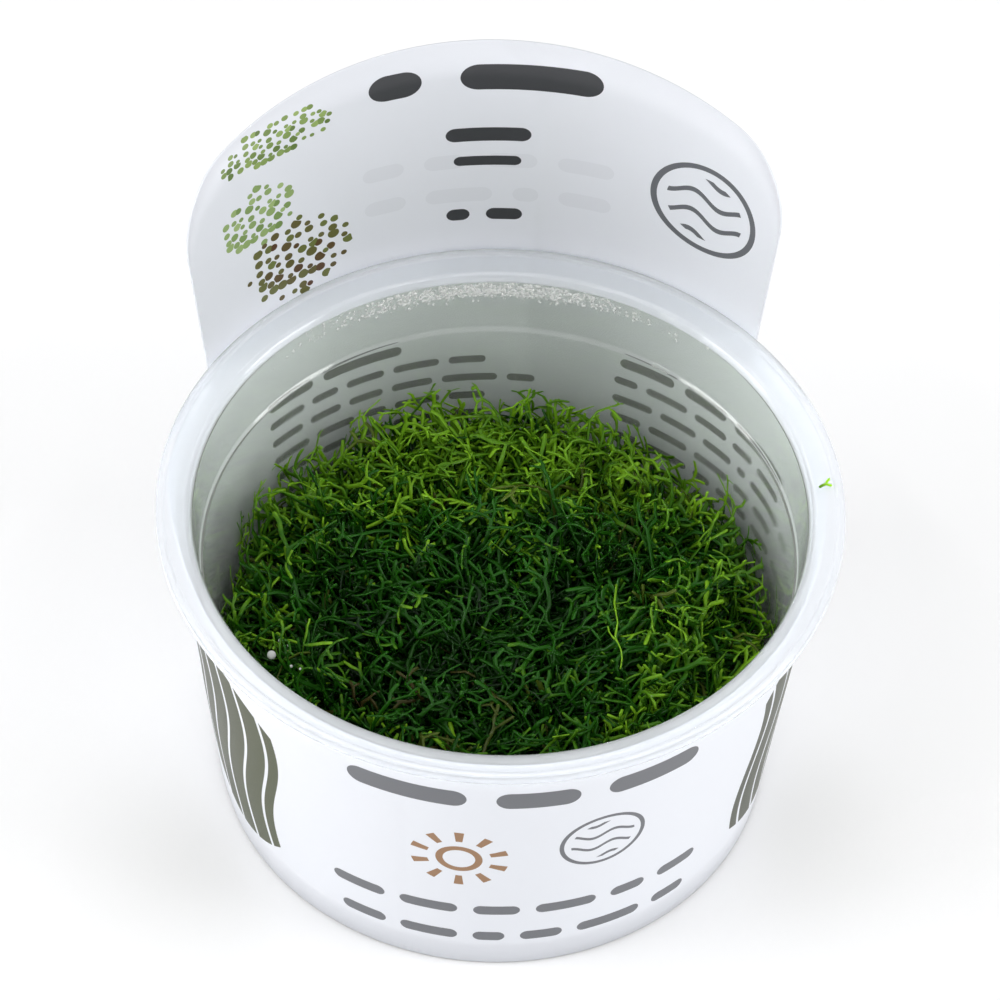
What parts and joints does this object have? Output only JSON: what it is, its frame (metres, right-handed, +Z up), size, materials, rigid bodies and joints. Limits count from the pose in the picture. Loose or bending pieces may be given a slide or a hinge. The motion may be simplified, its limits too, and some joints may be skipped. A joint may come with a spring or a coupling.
{
  "type": "crystalwort in a cup",
  "caption": "Living crystalwort, a tangle of forked green ribbons, in a clear tissue-culture cup with a white printed sleeve that rises as a round-topped tab behind the rim.",
  "frame": {"origin": "centre of the cup's flat underside", "axes": "+Z up along the cup's axis; the front of the cup faces -Y and the sleeve's tab stands at +Y; +X is to the right seen from the front"},
  "size_m": [0.104, 0.1105, 0.0992],
  "materials": {
    "clear_plastic": "clear moulded plastic, glossy, slightly bluish at the flange",
    "printed_sheet": "thin white printed sheet, satin, with grey, brown and olive printing",
    "plant": "moist live plant tissue, satin, dark green with yellow-green tips"
  },
  "bodies": {
    "root": {"cup": "clear_plastic", "sleeve": "printed_sheet", "crystalwort": "plant", "loose_frond": "plant"}
  },
  "joints": []
}
